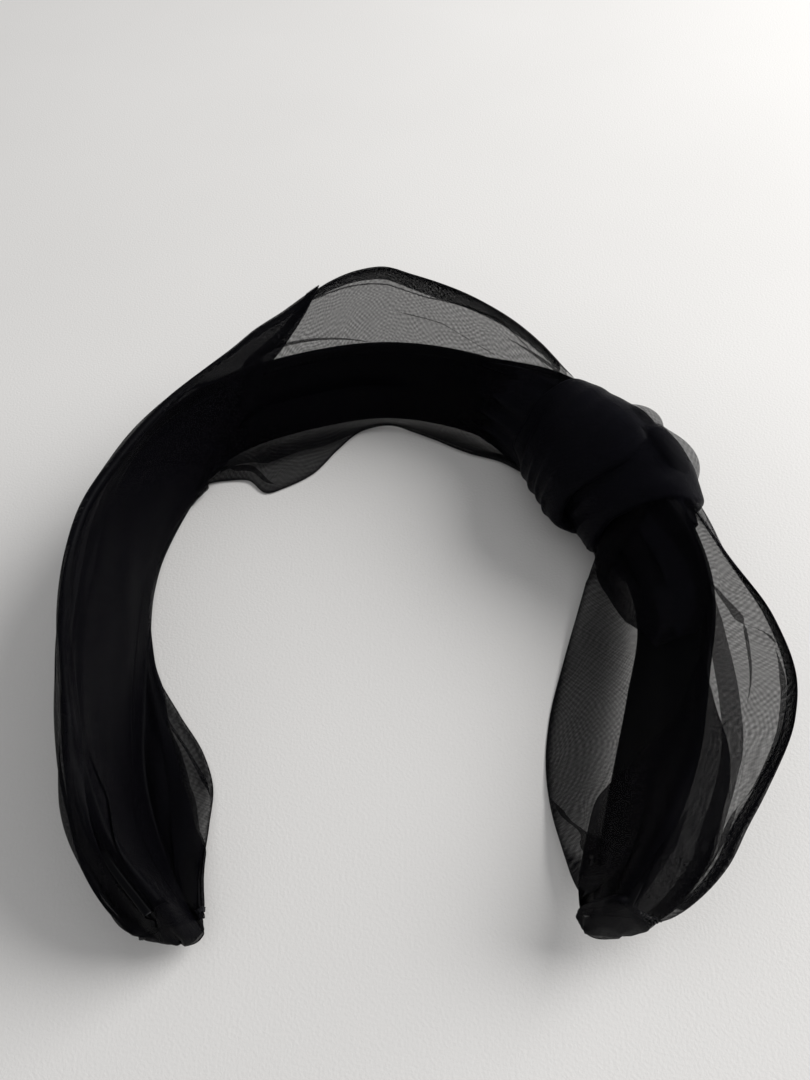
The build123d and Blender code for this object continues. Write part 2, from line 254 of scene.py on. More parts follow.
class Tube:
    """A flattened organza tube round the core, as a fine grid of section points."""

    def __init__(self, folds, rows, belly, slack, mouth=([0], [0]), fold_radius=1.0):
        self.at = np.linspace(0, len(folds) - 1, rows)
        self.low, self.high = spline(folds[:, :3], self.at), spline(folds[:, 3:], self.at)
        middles = (self.low + self.high) / 2
        self.run = travelled(middles)
        foot, head, outward, along = core_frames(nearest_core(middles))
        rise = unit(head - foot)
        corner = rise * CORNER_GAP
        self.along = along
        front_foot = foot - outward * FRONT_GAP - corner
        front_head = head - outward * FRONT_GAP + corner
        back_foot = foot + outward * BACK_GAP - corner
        back_head = head + outward * BACK_GAP + corner
        sag = np.interp(self.at, *slack)[:, None]
        back_head = self.pulled_tight(back_head, outward, sag)
        back_foot = self.pulled_tight(back_foot, outward, sag)
        bulge = np.interp(self.at, *belly)[:, None]
        flare = np.interp(self.at, *mouth)[:, None]
        self.loop = self.sections([
            self.low,
            front_foot - outward * (bulge * 0.5 + flare * 0.75),
            front_head - outward * (bulge * 0.2 + flare),
            self.high,
            back_head + outward * flare * 0.5,
            back_foot + outward * flare * 0.5,
        ], fold_radius)
        self.measure()

    def pulled_tight(self, points, outward, sag):
        """Back corners pushed out to the straight line from fold to fold, less the sag."""
        chord = self.high - self.low
        side = unit(np.cross(chord, self.along))
        side = np.where((side * outward).sum(1, keepdims=True) < 0, -side, side)
        depth = ((points - self.low) * side).sum(1, keepdims=True)
        push = np.logaddexp(0, (-depth - sag) / 0.7) * 0.7
        return points + side * eased(push, 4)

    def sections(self, corners, radius):
        """Rounded loops through the corners: rows x samples x 3, and their q."""
        self.q = np.linspace(0, ZONES, SAMPLES_PER_ZONE * ZONES, endpoint=False)
        ring = np.stack(corners + [corners[0]], axis=1)
        loops = np.empty((len(ring), len(self.q), 3))
        fine = np.linspace(0, ZONES, FINE_PER_ZONE * ZONES + 1)
        for i, points in enumerate(ring):
            line = read_line(fine, range(ZONES + 1), points)
            reach = travelled(line)
            even = np.linspace(0, reach[-1], EVEN_POINTS, endpoint=False)
            spaced = read_line(even, reach, line)
            sigma = radius / reach[-1] * EVEN_POINTS
            taps = np.arange(-int(3 * sigma) - 1, int(3 * sigma) + 2)
            weight = np.exp(-0.5 * (taps / sigma) ** 2)
            weight /= weight.sum()
            soft = sum(w * np.roll(spaced, -t, axis=0) for w, t in zip(weight, taps))
            q_even = np.append(np.interp(even, reach, fine), ZONES)
            loops[i] = read_line(self.q, q_even, np.append(soft, soft[:1], axis=0))
        return loops

    def measure(self):
        """Girth distance and its rate of each sample, and each section's outward normals."""
        closed = np.concatenate([self.loop, self.loop[:, :1]], axis=1)
        steps = np.linalg.norm(np.diff(closed, axis=1), axis=2)
        self.girth = np.concatenate([np.zeros((len(steps), 1)), np.cumsum(steps, axis=1)], axis=1)
        rate = steps * len(self.q) / ZONES
        spread = range(-9, 10)
        self.rate = eased(sum(np.roll(rate, k, axis=1) for k in spread) / len(spread), 4)
        ahead = np.roll(self.loop, -2, axis=1) - np.roll(self.loop, 2, axis=1)
        normal = unit(np.cross(ahead, self.along[:, None]))
        centre = self.loop.mean(axis=1, keepdims=True)
        turned = ((self.loop - centre) * normal).sum(2).mean() < 0
        self.normal = -normal if turned else normal

    def corners(self, rows, q):
        """Grid indices and shares for reading a grid at fractional rows and q."""
        r = np.clip(rows, 0, len(self.loop) - 1 - 1e-6)
        i = np.floor(r).astype(int)
        c = np.mod(q, ZONES) / ZONES * len(self.q)
        j = np.floor(c).astype(int) % len(self.q)
        return i, j, (r - i), (c - np.floor(c))

    def read(self, grid, rows, q):
        """A grid's values at fractional rows and q, round the seam where q passes it."""
        i, j, f, g = self.corners(rows, q)
        k = (j + 1) % grid.shape[1] if grid.shape[1] == len(self.q) else j + 1
        if grid.ndim == 3:
            f, g = f[..., None], g[..., None]
        near = grid[i, j] * (1 - g) + grid[i, k] * g
        far = grid[i + 1, j] * (1 - g) + grid[i + 1, k] * g
        return near * (1 - f) + far * f

    def surface(self, rows, q, lift):
        """Points at fractional rows and girth q, raised from the section by lift."""
        rows, q, lift = np.broadcast_arrays(rows, q, lift)
        place = self.read(self.loop, rows, q) + self.read(self.normal, rows, q) * lift[..., None]
        place[..., 2] = np.logaddexp(0, place[..., 2] / 0.15) * 0.15 + TABLE_GAP
        return place

    def cloth(self, rows, q):
        """Distance along the tube and round it, in millimetres, measured on the cloth."""
        rows, q = np.broadcast_arrays(rows, q)
        return np.stack([self.run_at(rows), self.girth_at(rows, q)], axis=-1)

    def run_at(self, rows):
        """Distance along the tube in mm at fractional rows."""
        return np.interp(rows, range(len(self.run)), self.run)

    def row_at(self, run):
        """Fractional rows at distances along the tube."""
        return np.interp(run, self.run, range(len(self.run)))

    def girth_at(self, rows, q):
        """Distance round the tube in mm from the lower fold to q."""
        return self.read(self.girth, rows, np.clip(q, 0, ZONES - 1e-6))

    def q_below(self, rows, distance):
        """Girth place a distance in mm down the inner face from the upper fold."""
        q = np.full(np.broadcast(rows, distance).shape, 3.0)
        for _ in range(6):
            q = 3.0 - distance / self.read(self.rate, rows, (q + 3.0) / 2)
        return q


def pleated(tube, rows, run, q, lift, pleats):
    """q and lift with each pleat's three layers folded in. A pleat is its girth place
    along the tube, its width and depth in mm and its strength along the tube; place
    and strength are pairs of lists, distances in mm along the tube and values there."""
    reach = tube.girth_at(rows, q)
    rate = np.maximum(tube.read(tube.rate, rows, q), 2.0)
    shift = np.zeros_like(q)
    for place, width, depth, strength in pleats:
        middle = np.interp(run, *place)
        size = np.interp(run, *strength)
        x = (reach - tube.read(tube.girth, rows, middle)) / width
        shift = shift - 3.0 * size * width * x * np.exp(-0.5 * x * x)
        lift = lift - size * depth * 1.5 * x * np.exp(-0.45 * x * x)
    return q + shift / rate, lift


# -------------------------------------------------------------- mesh building
FAR_FROM_FOLDS = 50.0


def add_uv(mesh, name, values):
    """A UV layer with one pair of values for each face corner."""
    layer = mesh.uv_layers.new(name=name)
    layer.data.foreach_set("uv", values.astype(np.float32).ravel())


def add_object(name, mesh):
    """The mesh as a smooth-shaded object in the scene."""
    mesh.polygons.foreach_set("use_smooth", [True] * len(mesh.polygons))
    mesh.update()
    obj = bpy.data.objects.new(name, mesh)
    bpy.context.scene.collection.objects.link(obj)
    return obj


def grid_mesh(name, points, cloth, closed=False, pressed=None):
    """A quad mesh of rows x columns of points in plan mm, with cloth coordinates and
    each point's distance from the nearest pressed fold. A closed grid joins its last
    column to its first, and its cloth has one column more than its points."""
    rows, cols = points.shape[:2]
    wide = cloth.shape[1]
    i, j = np.meshgrid(np.arange(rows - 1), np.arange(cols if closed else cols - 1), indexing="ij")
    nxt = (j + 1) % cols
    quads = np.stack([i * cols + j, i * cols + nxt, (i + 1) * cols + nxt, (i + 1) * cols + j], axis=-1)
    near, far = i * wide + j, (i + 1) * wide + j
    corners = np.stack([near, near + 1, far + 1, far], axis=-1).ravel()
    mesh = bpy.data.meshes.new(name)
    mesh.from_pydata(to_frame(points).reshape(-1, 3).tolist(), [], quads.reshape(-1, 4).tolist())
    flat = cloth.reshape(-1, 2)
    apart = np.full(len(flat), FAR_FROM_FOLDS) if pressed is None else pressed.ravel()
    add_uv(mesh, "cloth", flat[corners])
    add_uv(mesh, "pressed", np.stack([apart, apart], axis=-1)[corners])
    mesh.uv_layers.active_index = 0
    return add_object(name, mesh)


def tube_mesh(name, tube, rows, q, lift, pleats=(), closed=True):
    """A mesh over a tube: rows x q columns, with its lift function and its pleats."""
    rows, q = np.broadcast_arrays(rows, q)
    run = tube.run_at(rows)
    q_folded, raised = pleated(tube, rows, run, q, lift(run, q), pleats)
    points = tube.surface(rows, q_folded, raised)
    cloth = tube.cloth(rows, q)
    if closed:
        seam = tube.cloth(rows[:, :1], np.full_like(q[:, :1], ZONES))
        cloth = np.concatenate([cloth, seam], axis=1)
    whole, upper = (tube.cloth(rows[:, :1], place)[:, :, 1] for place in (ZONES, 3.0))
    round_it = cloth[..., 1]
    pressed = np.minimum(np.abs(round_it - upper), np.minimum(round_it, whole - round_it))
    return grid_mesh(name, points, cloth, closed, pressed)


# ------------------------------------------------------------------ materials
class Nodes:
    """A material's node tree, with short calls for what the fabrics share."""

    def __init__(self, name):
        self.material = bpy.data.materials.new(name)
        self.material.use_nodes = True
        self.tree = self.material.node_tree
        self.tree.nodes.clear()
        self.out = self.add("ShaderNodeOutputMaterial")
        self.shader = self.add("ShaderNodeBsdfPrincipled")
        self.link(self.shader, "BSDF", self.out, "Surface")

    def add(self, kind, **values):
        node = self.tree.nodes.new(kind)
        for key, value in values.items():
            setattr(node, key, value)
        return node

    def link(self, a, out, b, into):
        self.tree.links.new(a.outputs[out], b.inputs[into])

    def set(self, **values):
        for key, value in values.items():
            self.shader.inputs[key.replace("_", " ")].default_value = value

    def maths(self, operation, first, second=None, third=None):
        node = self.add("ShaderNodeMath", operation=operation)
        for slot, value in enumerate((first, second, third)):
            if value is None:
                continue
            if isinstance(value, (int, float)):
                node.inputs[slot].default_value = value
            else:
                self.tree.links.new(value, node.inputs[slot])
        return node.outputs[0]

    def cloth(self):
        """The cloth coordinates, in millimetres along and across the weave."""
        uv = self.add("ShaderNodeUVMap", uv_map="cloth")
        parts = self.add("ShaderNodeSeparateXYZ")
        self.link(uv, "UV", parts, "Vector")
        return uv.outputs["UV"], parts.outputs["X"], parts.outputs["Y"]

    def noise(self, vector, scale, detail=2.0, roughness=0.5):
        node = self.add("ShaderNodeTexNoise")
        node.inputs["Scale"].default_value = scale
        node.inputs["Detail"].default_value = detail
        node.inputs["Roughness"].default_value = roughness
        self.tree.links.new(vector, node.inputs["Vector"])
        return node.outputs["Fac"]

    def wave(self, phase, pitch):
        """A sine of the phase value, one turn per pitch, from -1 to 1."""
        return self.maths("SINE", self.maths("MULTIPLY", phase, 2 * math.pi / pitch))

    def feed(self, value, socket):
        """Link a value to one of the shader's sockets."""
        self.tree.links.new(value, self.shader.inputs[socket])

    def colours(self, share, low, high):
        """Base colour between low and high, by a share from 0 to 1."""
        colour = self.add("ShaderNodeMixRGB")
        colour.inputs["Color1"].default_value = (*low, 1)
        colour.inputs["Color2"].default_value = (*high, 1)
        self.tree.links.new(share, colour.inputs["Fac"])
        self.link(colour, "Color", self.shader, "Base Color")

    def bump(self, height, strength, distance):
        node = self.add("ShaderNodeBump")
        node.inputs["Strength"].default_value = strength
        node.inputs["Distance"].default_value = distance
        self.tree.links.new(height, node.inputs["Height"])
        self.link(node, "Normal", self.shader, "Normal")


BLACK = (0.0014, 0.0013, 0.0021)
BUNCHED_BLACK = (0.0030, 0.0029, 0.0045)
CREASE_WIDTH = 0.7  # mm over which the cloth is darker beside a pressed fold
CREASE_COVER = 0.42
THREAD_PITCH = 0.42  # mm
WATERED_PITCHES = (1.15, 1.45)  # mm between watered lines, one way and the other
SHADE = (0.75, 1.35)  # the tint's darkest and lightest share


def organza(name, cover=0.52, tint=BLACK, moire=0.085):
    """Sheer black organza: part of the light passes between its threads, and fine
    watered lines run where the weave of one layer beats against the next."""
    n = Nodes(name)
    uv, along, across = n.cloth()
    drift = n.noise(uv, 0.055, 2.0)
    slow = n.noise(uv, 0.012, 1.0)
    bend = n.maths("MULTIPLY", drift, 9.0)
    sway = n.maths("MULTIPLY", slow, 26.0)
    skew = n.maths("MULTIPLY_ADD", along, 0.55, n.maths("ADD", across, n.maths("ADD", bend, sway)))
    cross = n.maths("MULTIPLY_ADD", across, -0.6, n.maths("ADD", along, n.maths("MULTIPLY", bend, 0.8)))
    one_way, other_way = n.wave(skew, WATERED_PITCHES[0]), n.wave(cross, WATERED_PITCHES[1])
    watered = n.maths("ADD", one_way, n.maths("MULTIPLY", other_way, 0.55))
    patch = n.maths("MULTIPLY", n.noise(uv, 0.09, 1.0), 1.6)
    watered = n.maths("MULTIPLY", watered, n.maths("MULTIPLY", patch, moire))
    weave = n.maths("MULTIPLY", n.wave(along, THREAD_PITCH), n.wave(across, THREAD_PITCH))
    slub = n.maths("SUBTRACT", n.noise(uv, 0.35, 3.0), 0.5)
    cover_now = n.maths("MULTIPLY_ADD", weave, 0.05, cover)
    cover_now = n.maths("ADD", cover_now, n.maths("MULTIPLY", slub, 0.10))
    cover_now = n.maths("ADD", cover_now, watered)
    pressed = n.add("ShaderNodeUVMap", uv_map="pressed")
    apart = n.add("ShaderNodeSeparateXYZ")
    n.link(pressed, "UV", apart, "Vector")
    crease = n.maths("EXPONENT", n.maths("MULTIPLY", apart.outputs["X"], -1 / CREASE_WIDTH))
    cover_now = n.maths("MULTIPLY_ADD", crease, CREASE_COVER, cover_now)
    n.feed(cover_now, "Alpha")
    n.colours(n.noise(uv, 0.2, 2.0), *([share * c for c in tint] for share in SHADE))
    n.feed(n.maths("MULTIPLY_ADD", slub, 0.25, 0.48), "Roughness")
    n.set(Specular_IOR_Level=0.03, Sheen_Weight=0.002, Sheen_Roughness=0.35)
    n.bump(weave, 0.15, 0.00005)
    return n.material


def satin(name, tint=(0.0009, 0.0009, 0.0014)):
    """Black satin: long floats along the band give it a soft streaked gloss."""
    n = Nodes(name)
    uv = n.cloth()[0]
    stretch = n.add("ShaderNodeMapping")
    stretch.inputs["Scale"].default_value = (0.25, 3.0, 1.0)
    n.tree.links.new(uv, stretch.inputs["Vector"])
    floats = n.noise(stretch.outputs["Vector"], 1.4, 3.0)
    n.colours(floats, [0.8 * c for c in tint], [1.3 * c for c in tint])
    n.feed(n.maths("MULTIPLY_ADD", floats, 0.25, 0.36), "Roughness")
    n.set(Specular_IOR_Level=0.05, Sheen_Weight=0.002, Sheen_Roughness=0.4)
    n.bump(floats, 0.25, 0.0001)
    return n.material


def plastic(name):
    """Moulded black plastic with a fine grain."""
    n = Nodes(name)
    tone = n.noise(n.cloth()[0], 0.3, 2.0)
    n.feed(n.maths("MULTIPLY_ADD", tone, 0.2, 0.35), "Roughness")
    n.set(Base_Color=(0.02, 0.02, 0.022, 1))
    n.bump(tone, 0.1, 0.0002)
    return n.material


def thread(name):
    """Twisted black sewing thread."""
    n = Nodes(name)
    _, along, across = n.cloth()
    twist = n.wave(n.maths("ADD", along, across), 0.25)
    n.set(Base_Color=(0.006, 0.006, 0.008, 1), Roughness=0.6, Specular_IOR_Level=0.2)
    n.bump(twist, 0.4, 0.00005)
    return n.material


def floor_cloth(name):
    """The pale surface under the headband, with a trace of tone and grain."""
    n = Nodes(name)
    place = n.add("ShaderNodeTexCoord").outputs["Object"]
    tone = n.noise(place, 9.0, 4.0)
    n.colours(tone, (0.70, 0.685, 0.665), (0.76, 0.745, 0.725))
    n.set(Roughness=0.9, Specular_IOR_Level=0.15)
    n.bump(n.noise(place, 1400.0, 2.0), 0.25, 0.0003)
    return n.material


# ------------------------------------------------------------------ the pieces
def finish(obj, material, slot, *nodes, body=None):
    """Material, stand-in and body of a piece, slot not used; with no body it bends at the crown."""
    obj.data.materials.append(material)
    if nodes:
        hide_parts(*nodes)
    if body:
        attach(obj, body)
    else:
        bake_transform(obj, LEFT, RIGHT, BLEND_START, BLEND_END)
    return obj


# ---- core, sleeve and lining
def core_band(name, at, width_of, profile, offset, material, slot, nodes, closed):
    """A band along the core with a cross profile (u half-widths, v mm outward)."""
    foot, head, outward, _ = core_frames(at)
    rise = unit(head - foot)
    width = np.linalg.norm(head - foot, axis=1)[:, None]
    middle = (foot + head) / 2
    half = width_of(width) / 2
    u, v = profile
    points = middle[:, None] + rise[:, None] * (half * u)[..., None]
    points = points + outward[:, None] * np.broadcast_to(offset + v, half.shape[:1] + u.shape)[..., None]
    points[..., 2] += TABLE_GAP
    run = travelled(middle)
    turn = np.linspace(0, 4 * half.mean(), len(u) + (1 if closed else 0))
    cloth = np.stack(np.broadcast_arrays(run[:, None], turn[None]), axis=-1)
    return finish(grid_mesh(name, points, cloth, closed), material, slot, *nodes)


def rounded_strip(count, thickness):
    """Unit half-width u and depth v round a flat strip with rounded edges."""
    t = np.linspace(0, 2 * math.pi, count, endpoint=False)
    u = np.sign(np.cos(t)) * np.abs(np.cos(t)) ** 0.5
    v = np.sign(np.sin(t)) * np.abs(np.sin(t)) ** 0.5 * thickness / 2
    return u, v


def build_core(materials):
    at = np.linspace(0, len(CORE) - 1, 260)
    core_band("core_strip", at, lambda w: w, rounded_strip(36, CORE_THICKNESS), 0.0,
              materials["plastic"], "core_plastic", ("core_strip_left", "core_strip_right"), True)
    core_band("core_sleeve", at, lambda w: w + 2 * SLEEVE_WALL + SLEEVE_EASE,
              rounded_strip(72, CORE_THICKNESS + 2 * SLEEVE_WALL), 0.0,
              materials["satin"], "satin", ("core_sleeve_left", "core_sleeve_right"), True)
    u = np.linspace(-1, 1, 40)
    face = -(CORE_THICKNESS / 2 + SLEEVE_WALL)
    crown = -0.25 - 0.2 * np.cos(u * math.pi / 2)
    core_band("lining", at[6:-6], lambda w: w * LINING_WIDTH, (u, crown), face,
              materials["lining"], "lining_ribbon", ("lining_left", "lining_right"), False)
    build_lining_stitches(materials, face)


STITCH_SIDES = 5
# Rings along a stitch: share of its length and of its radius.
STITCH_RINGS = ((0.0, 0.1), (0.12, 0.8), (0.5, 1.0), (0.88, 0.8), (1.0, 0.1))


def stitch_rods(name, starts, ends, radius):
    """Short round stitches, one from each start to its end."""
    along = unit(ends - starts)
    helper = np.where(np.abs(along[:, 2:3]) > 0.8, [[1.0, 0, 0]], [[0, 0, 1.0]])
    across = unit(np.cross(along, helper))
    other = np.cross(along, across)
    sides, ring = STITCH_SIDES, []
    for share, swell in STITCH_RINGS:
        centre = starts + (ends - starts) * share
        for k in range(sides):
            t = 2 * math.pi * k / sides
            ring.append(centre + (across * math.cos(t) + other * math.sin(t)) * radius * swell)
    points = np.stack(ring, axis=1)
    count = points.shape[1]
    last = count - sides
    local = [(r + k, r + (k + 1) % sides, r + sides + (k + 1) % sides, r + sides + k)
             for r in range(0, last, sides) for k in range(sides)]
    local += [tuple(range(sides))[::-1], tuple(range(last, count))]
    faces = [tuple(i * count + v for v in face) for i in range(len(points)) for face in local]
    mesh = bpy.data.meshes.new(name)
    mesh.from_pydata(to_frame(points).reshape(-1, 3).tolist(), [], faces)
    order = np.array([v for face in faces for v in face])
    add_uv(mesh, "cloth", points.reshape(-1, 3)[order][:, :2])
    return add_object(name, mesh)


def build_lining_stitches(materials, face):
    """Slip stitches that hold both long edges of the lining to the sleeve."""
    at = np.linspace(0.45, len(CORE) - 1.45, 330)
    foot, head, outward, along = core_frames(at)
    rise = unit(head - foot)
    middle = (foot + head) / 2
    starts, ends = [], []
    for side in (-1, 1):
        half = np.linalg.norm(head - foot, axis=1)[:, None] * LINING_WIDTH / 2
        edge = middle + rise * half * side + outward * (face - 0.2)
        edge[:, 2] += TABLE_GAP
        starts.append(edge - along * 0.3 - rise * side * 0.5)
        ends.append(edge + along * 0.3 + rise * side * 0.4)
    rods = stitch_rods("lining_stitches", np.concatenate(starts), np.concatenate(ends), 0.11)
    finish(rods, materials["thread"], "thread")


# ---- organza tubes
def pleat(places, width, depth, strength):
    """One pleat: [(mm along, girth place)], width, depth, [(mm along, strength)]."""
    return (tuple(zip(*places)), width, depth, tuple(zip(*strength)))


LONG_PLEATS = [
    pleat([(150, 2.6), (168, 2.35), (203, 2.05)], 0.9, 0.35, [(150, 0.3), (168, 0.8), (200, 0.5), (208, 0)]),
    pleat([(150, 1.35), (165, 1.5), (230, 1.5)], 2.2, 1.5, [(148, 0), (158, 0.9), (200, 0.9), (228, 0)]),
    pleat([(144, 1.05), (150, 0.7), (168, 0.1)], 1.1, 0.5, [(140, 0), (148, 0.9), (160, 0.9), (167, 0)]),
    pleat([(205, 2.45), (225, 2.4), (245, 2.1)], 0.5, 0.25, [(203, 0), (214, 0.6), (240, 0.6), (250, 0.3)]),
    pleat([(175, 2.85), (220, 2.7), (243, 2.8), (264, 2.4)], 0.6, 0.2, [(172, 0), (185, 0.6), (264, 0.7)]),
    pleat([(30, 0.05), (58, 0.45)], 0.7, 0.3, [(30, 0), (38, 0.8), (56, 0.8), (64, 0)]),
    pleat([(0, 2.55), (140, 2.7)], 1.2, 0.25, [(0, 0.3), (20, 0.5), (110, 0.3), (150, 0)]),
    pleat([(0, 1.9), (40, 2.0), (90, 2.2)], 1.4, 0.25, [(0, 0.5), (12, 0.5), (50, 0.2), (80, 0)]),
    pleat([(0, 1.1), (45, 1.5), (80, 1.75)], 1.5, 0.25, [(0, 0.5), (12, 0.5), (40, 0.2), (70, 0)]),
    pleat([(0, 3.6), (140, 3.4)], 1.8, 0.3, [(0, 0.5), (15, 0.6), (60, 0.3), (100, 0)]),
    pleat([(0, 4.4), (140, 4.2)], 2.0, 0.3, [(0, 0.5), (15, 0.6), (50, 0.3), (90, 0)]),
    pleat([(0, 5.3), (140, 5.2)], 2.0, 0.3, [(0, 0.5), (15, 0.5), (40, 0.2), (80, 0)]),
]
# Gathers where the long tube enters the knot: girth place 35 mm before it and at it,
# width, depth, and the distance along where the gather begins.
LONG_PLEATS += [
    pleat([(230, far), (264, near)], width, depth, [(begins, 0), (257, 0.9), (264, 1)])
    for far, near, width, depth, begins in (
        (0.5, 0.7, 2.4, 0.8, 236), (1.2, 1.2, 2.4, 0.8, 230), (1.9, 1.75, 2.2, 0.7, 240),
        (3.5, 3.6, 2.2, 0.6, 232), (4.5, 4.4, 2.2, 0.6, 225))
]
WRAP_PLEATS = [
    pleat([(0, 2.6), (30, 2.35), (45, 2.25), (60, 2.5)], 1.1, 0.25,
          [(0, 0.6), (20, 0.8), (45, 0.5), (62, 0)]),
    pleat([(0, 2.2), (30, 1.85), (50, 2.1)], 0.9, 0.25, [(0, 0.6), (18, 0.7), (40, 0.5), (56, 0)]),
    pleat([(0, 1.35), (30, 1.4), (50, 1.2)], 0.7, 0.3, [(0, 0.4), (20, 0.5), (80, 0.4), (95, 0)]),
    pleat([(0, 0.9), (20, 0.7), (60, 0.65)], 1.2, 0.3, [(0, 0.6), (12, 0.7), (40, 0.3), (60, 0)]),
    pleat([(0, 2.75), (100, 2.8)], 1.0, 0.25, [(70, 0), (90, 0.5), (130, 0.5), (165, 0)]),
    pleat([(0, 3.8), (140, 3.7)], 2.0, 0.3, [(0, 0.5), (15, 0.7), (50, 0.3), (90, 0)]),
    pleat([(0, 4.8), (140, 4.7)], 2.2, 0.3, [(0, 0.5), (15, 0.7), (50, 0.3), (85, 0)]),
]
SHORT_PLEATS = [
    pleat([(20, 2.1), (35, 2.15), (60, 2.35), (90, 2.65)], 2.1, 0.45,
          [(15, 0.3), (32, 1), (88, 1.1), (103, 0.8)]),
    pleat([(20, 2.35), (40, 2.55), (60, 2.55), (86, 2.85)], 1.0, 0.35,
          [(15, 0.4), (32, 0.8), (80, 0.8), (88, 0)]),
    pleat([(26, 2.35), (36, 2.5), (43, 2.85)], 0.7, 0.25, [(24, 0), (30, 0.7), (40, 0.7), (45, 0)]),
    pleat([(70, 0), (83, 0.55), (91, 1.25), (100, 1.4)], 1.0, 0.5,
          [(70, 0), (76, 0.8), (92, 0.9), (103, 0.6)]),
    pleat([(40, 2.8), (103, 2.9)], 1.0, 0.25, [(38, 0), (52, 0.7), (90, 0.8), (103, 0.5)]),
]
# Gathers where it is drawn in towards the tip: girth place, its drift to the tip,
# and where the gather begins.
SHORT_PLEATS += [
    pleat([(60, place), (103, place + drift)], 2.1, 0.5, [(begins, 0), (88, 0.8), (103, 0.8)])
    for place, drift, begins in (
        (0.75, 0.1, 74), (1.7, 0, 66), (2.2, 0, 70), (3.7, -0.1, 66), (4.5, -0.1, 60), (5.3, -0.1, 70))
]
# Gathers where the short tube leaves the knot: girth place there, place where it
# has opened out, and how far from the knot it has.
MOUTH_GATHERS = [
    (0.32, 0.40, 16), (0.62, 0.74, 26), (0.90, 1.05, 32), (1.22, 1.34, 30), (1.58, 1.62, 34),
    (1.90, 1.94, 36), (2.20, 2.24, 30), (2.52, 2.46, 24), (2.78, 2.80, 16), (3.5, 3.5, 24),
    (3.9, 3.9, 30), (4.3, 4.3, 34), (4.7, 4.7, 34), (5.1, 5.1, 28), (5.5, 5.5, 20),
]
SHORT_PLEATS += [
    pleat([(0, near), (reach, far)], 1.9, 0.45, [(0, 1.0), (reach * 0.45, 0.8), (reach, 0.0)])
    for near, far, reach in MOUTH_GATHERS
]
# How far the wrap's long edges stand apart near the left tip: distance along, girth.
WRAP_OPENING = ([0, 19, 26, 38, 54, 70], [0, 0, 0.25, 0.45, 0.45, 0])
# Where the wrap ends: girth place and distance along the tube from the left tip.
HEM = ([0, 1.05, 1.3, 1.6, 2, 3, 6], [135, 138, 150, 159, 167, 184, 135])


# Seed and height in mm of each cloth's ripples.
LONG_RIPPLES = (5, 0.32)
SHORT_RIPPLES = (15, 0.34)
WRAP_RIPPLES = (25, 0.28)
SEAM_RIPPLE = 0.32
WRAP_LIFT = 1.0  # how far the wrap lies outside the long tube
THREAD_FROM_END = 2.6
HEM_WIDTH = 5.5


def ripples(run, q, seed, size):
    """Long soft waves and small puckers of the cloth, in mm."""
    across = q * 15.0
    return size * (waves(run, across, 75, 12, seed) + 0.35 * waves(run, across, 28, 5, seed + 1))


def tip_gathers(q, from_end, seed):
    """Folds round the tube where its end is drawn together, and the thread's groove."""
    turn = q / ZONES * 2 * math.pi
    folds = np.cos(13 * turn + 1.4 * np.sin(3 * turn + seed)) + 0.35 * np.cos(23 * turn + seed)
    groove = np.exp(-(((from_end - THREAD_FROM_END) / 1.1) ** 2))
    drawn = folds * (1 - ramp(from_end, 1, 20)) * 0.4 * ramp(from_end, -1, 3)
    return drawn * (1 - 0.6 * groove) - 0.8 * groove


def calmed(from_end):
    """Share of the ripples that is left near a drawn-in end."""
    return 0.4 + 0.6 * ramp(from_end, 2, 24)


def long_tube():
    return Tube(LONG_FOLDS, 420,
                belly=([0, 11, 13, 14, 17, 19.5, 23], [0.6, 0.8, 3.5, 4.5, 2.5, 1.0, 0.5]),
                slack=([0, 2, 3.5, 9.5, 14, 19.5, 23], [-0.8, -0.8, 1.5, 2.5, 4.0, 1.5, 0.5]))


def short_tube():
    return Tube(SHORT_FOLDS, 260,
                belly=([0, 2.5, 5.5, 10], [1.0, 1.5, 1.2, 0.5]),
                slack=([0, 3.5, 6, 7, 10], [1.0, 3.0, 2.0, -0.6, -0.6]),
                mouth=([0, 0.6, 1.3, 2.1, 2.7], [6.5, 6.0, 4.0, 1.5, 0.0]))


def build_long_tube(materials, tube):
    rows = np.linspace(0, len(tube.at) - 1, 330)[:, None]
    q = np.linspace(0, ZONES, 330, endpoint=False)[None]

    def lift(run, q):
        return ripples(run, q, *LONG_RIPPLES) * calmed(run) + tip_gathers(q, run, 0.4)

    obj = tube_mesh("organza_tube_long", tube, rows, q, lift, LONG_PLEATS)
    finish(obj, materials["organza"], "organza", "organza_tube_left", "organza_tube_crown")


def build_short_tube(materials, tube):
    rows = np.linspace(0, len(tube.at) - 1, 250)[:, None]
    q = np.linspace(0, ZONES, 360, endpoint=False)[None]
    total = tube.run[-1]

    def lift(run, q):
        end = total - run
        return ripples(run, q, *SHORT_RIPPLES) * calmed(end) + tip_gathers(q, end, 1.1)

    obj = tube_mesh("organza_tube_short", tube, rows, q, lift, SHORT_PLEATS)
    finish(obj, materials["organza"], "organza", "organza_tube_right", body=RIGHT)


def build_wrap(materials, tube):
    """The extra panel folded round the left arm, and its diagonal hem."""
    edge_q = np.linspace(0.03, ZONES - 0.03, 330)[None]
    share = np.linspace(0, 1, 240)[:, None]
    hem = np.interp(edge_q, *HEM)
    along = share * hem
    rows = tube.row_at(along)
    q = edge_q + np.interp(along, *WRAP_OPENING) * np.interp(edge_q, [0, 1.2, 4.8, 6], [1, 0, 0, -0.6])

    def lift(run, q):
        soft = ripples(run, q, *WRAP_RIPPLES) * calmed(run)
        return WRAP_LIFT + soft + tip_gathers(q, run, 0.4)

    obj = tube_mesh("organza_wrap", tube, rows, q, lift, WRAP_PLEATS, closed=False)
    finish(obj, materials["organza_double"], "organza", "organza_wrap_left")
    build_hem(materials, tube, edge_q, hem)


